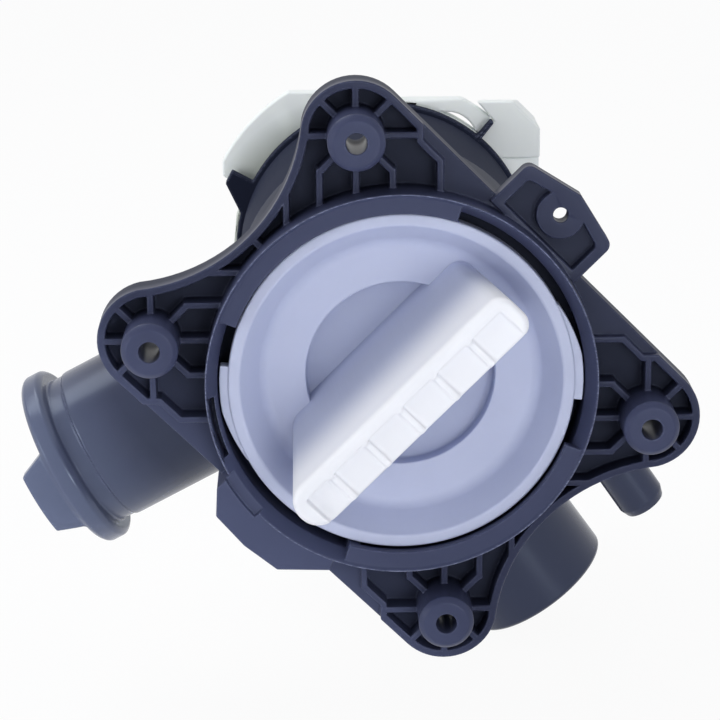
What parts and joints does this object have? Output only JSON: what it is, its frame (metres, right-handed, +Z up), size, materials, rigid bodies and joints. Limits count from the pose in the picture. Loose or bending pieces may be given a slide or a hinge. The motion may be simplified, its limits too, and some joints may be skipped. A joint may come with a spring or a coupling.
{
  "type": "washer drain pump",
  "caption": "Dark moulded washer drain pump: lobed mounting flange, pale screw-out lint filter with a diagonal grip, inlet and outlet spigots, small nipple and rear motor.",
  "frame": {"origin": "on the filter axis, in the plane of the four boss faces", "axes": "+Y back along the filter and motor axis, +X right and +Z up as seen from the front, as the pump is pictured"},
  "size_m": [0.1441, 0.187, 0.1521],
  "materials": {
    "dark_plastic": "satin, moulded",
    "pale_plastic": "satin, moulded",
    "ivory_plastic": "satin, moulded",
    "rubber": "matt",
    "steel": "machined",
    "lamination": "stamped sheet",
    "magnet": "pressed ferrite",
    "brass": "machined",
    "copper": "enamelled wire"
  },
  "bodies": {
    "body": {"filter_housing": "dark_plastic", "pump_casing": "dark_plastic", "inlet_spigot": "dark_plastic", "outlet_spigot": "dark_plastic", "vent_nipple": "dark_plastic", "motor_flange": "dark_plastic", "flange_seal": "rubber", "shaft_seal": "rubber", "front_bearing": "brass", "rear_bearing": "brass", "stator_core": "lamination", "coil_bobbins": "ivory_plastic", "coil_windings": "copper", "core_screws": "steel", "motor_frame": "ivory_plastic", "motor_cover": "ivory_plastic", "cover_screws": "steel", "connector_socket": "ivory_plastic", "terminal_tabs": "brass"},
    "strainer": {"lint_basket": "pale_plastic"},
    "cap": {"filter_cap": "pale_plastic", "cap_seal": "rubber"},
    "rotor": {"rotor_shaft": "steel", "rotor_magnet": "magnet", "thrust_washer": "steel", "drive_dog": "brass", "impeller_clip": "steel"},
    "impeller": {"impeller": "pale_plastic"}
  },
  "joints": [
    {"name": "strainer_pull", "type": "slide", "parent": "body", "child": "strainer", "axis": [0, -1, 0], "range_m": [0, 0.1]},
    {"name": "cap_turn", "type": "hinge", "parent": "strainer", "child": "cap", "pos_m": [0, 0.02, 0], "axis": [0, 1, 0], "range_deg": [0, 90]},
    {"name": "rotor_spin", "type": "hinge", "parent": "body", "child": "rotor", "pos_m": [0, 0.144, 0], "axis": [0, 1, 0], "continuous": true},
    {"name": "impeller_play", "type": "hinge", "parent": "rotor", "child": "impeller", "pos_m": [0, 0.102, 0], "axis": [0, 1, 0], "range_deg": [-130, 130]}
  ]
}
